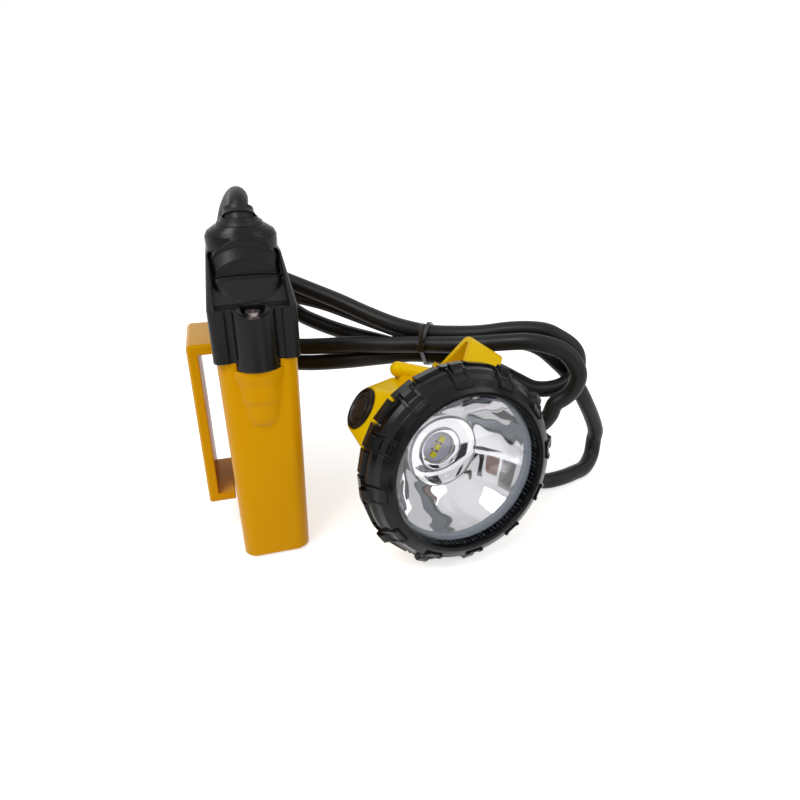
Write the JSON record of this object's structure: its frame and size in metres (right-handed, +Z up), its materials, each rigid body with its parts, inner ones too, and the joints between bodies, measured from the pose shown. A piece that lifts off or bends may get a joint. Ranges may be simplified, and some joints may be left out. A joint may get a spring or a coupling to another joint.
{
  "type": "miner's cap lamp",
  "caption": "Cap lamp: upright belt battery pack with a loop and screwed cover, round lamp head with a toothed rubber ring, push switch and helmet hook, joined by a tied cord.",
  "frame": {"origin": "centre of the battery pack's flat bottom, which stands on the surface", "axes": "+Z up; +X through the pack's thickness, away from its belt loop; +Y along the pack's width, away from the side that the lamp head lies beside"},
  "size_m": [0.2145, 0.1526, 0.1568],
  "materials": {
    "case_yellow": "gloss moulded plastic",
    "cover_black": "semi-gloss moulded plastic",
    "inner_black": "matt moulded plastic",
    "rubber_black": "satin moulded rubber",
    "cord_rubber": "satin extruded rubber",
    "seal_rubber": "matt",
    "tie_nylon": "satin",
    "lens_clear": "polished clear",
    "reflector_mirror": "polished metallised",
    "board_white": "satin solder mask",
    "chip_phosphor": "matt",
    "board_green": "satin solder mask",
    "parts_dark": "matt",
    "screw_steel": "plated",
    "insert_brass": "machined",
    "strip_nickel": "rolled",
    "sink_aluminium": "machined",
    "cell_wrap": "wrapped metal can",
    "foam_grey": "closed-cell foam",
    "wire_red": "insulated wire"
  },
  "bodies": {
    "lamp": {"battery_case": "case_yellow", "belt_loop": "case_yellow", "top_cover": "cover_black", "cover_seal": "seal_rubber", "cover_screws": "screw_steel", "thread_inserts": "insert_brass", "cable_boot": "rubber_black", "cord_clamp": "inner_black", "clamp_screws": "screw_steel", "battery_cells": "cell_wrap", "cell_holders": "inner_black", "cell_tabs": "strip_nickel", "protection_board": "board_green", "board_parts": "parts_dark", "pack_wires": "wire_red", "foam_pad": "foam_grey", "head_housing": "case_yellow", "tyre_bezel": "rubber_black", "lens": "lens_clear", "lens_seal": "seal_rubber", "reflector": "reflector_mirror", "led_board": "board_white", "led_chips": "chip_phosphor", "heat_sink": "sink_aluminium", "heat_sink_screws": "screw_steel", "driver_board": "board_green", "driver_parts": "parts_dark", "switch_ring": "rubber_black", "tact_switch": "parts_dark", "helmet_hook": "case_yellow", "hook_screws": "screw_steel", "head_boot": "rubber_black", "gland_nut": "inner_black", "head_wires": "wire_red", "bezel_seal": "seal_rubber", "cord_pack_lead": "cord_rubber", "cord_hank": "cord_rubber", "cord_head_lead": "cord_rubber", "cable_tie": "tie_nylon"},
    "button": {"switch_button": "rubber_black"}
  },
  "joints": [
    {"name": "button_press", "type": "slide", "parent": "lamp", "child": "button", "axis": [0.8212, 0.0297, -0.5698], "range_m": [0, 0.0015], "stiffness_N_per_m": 800, "springref_m": -0.001}
  ]
}
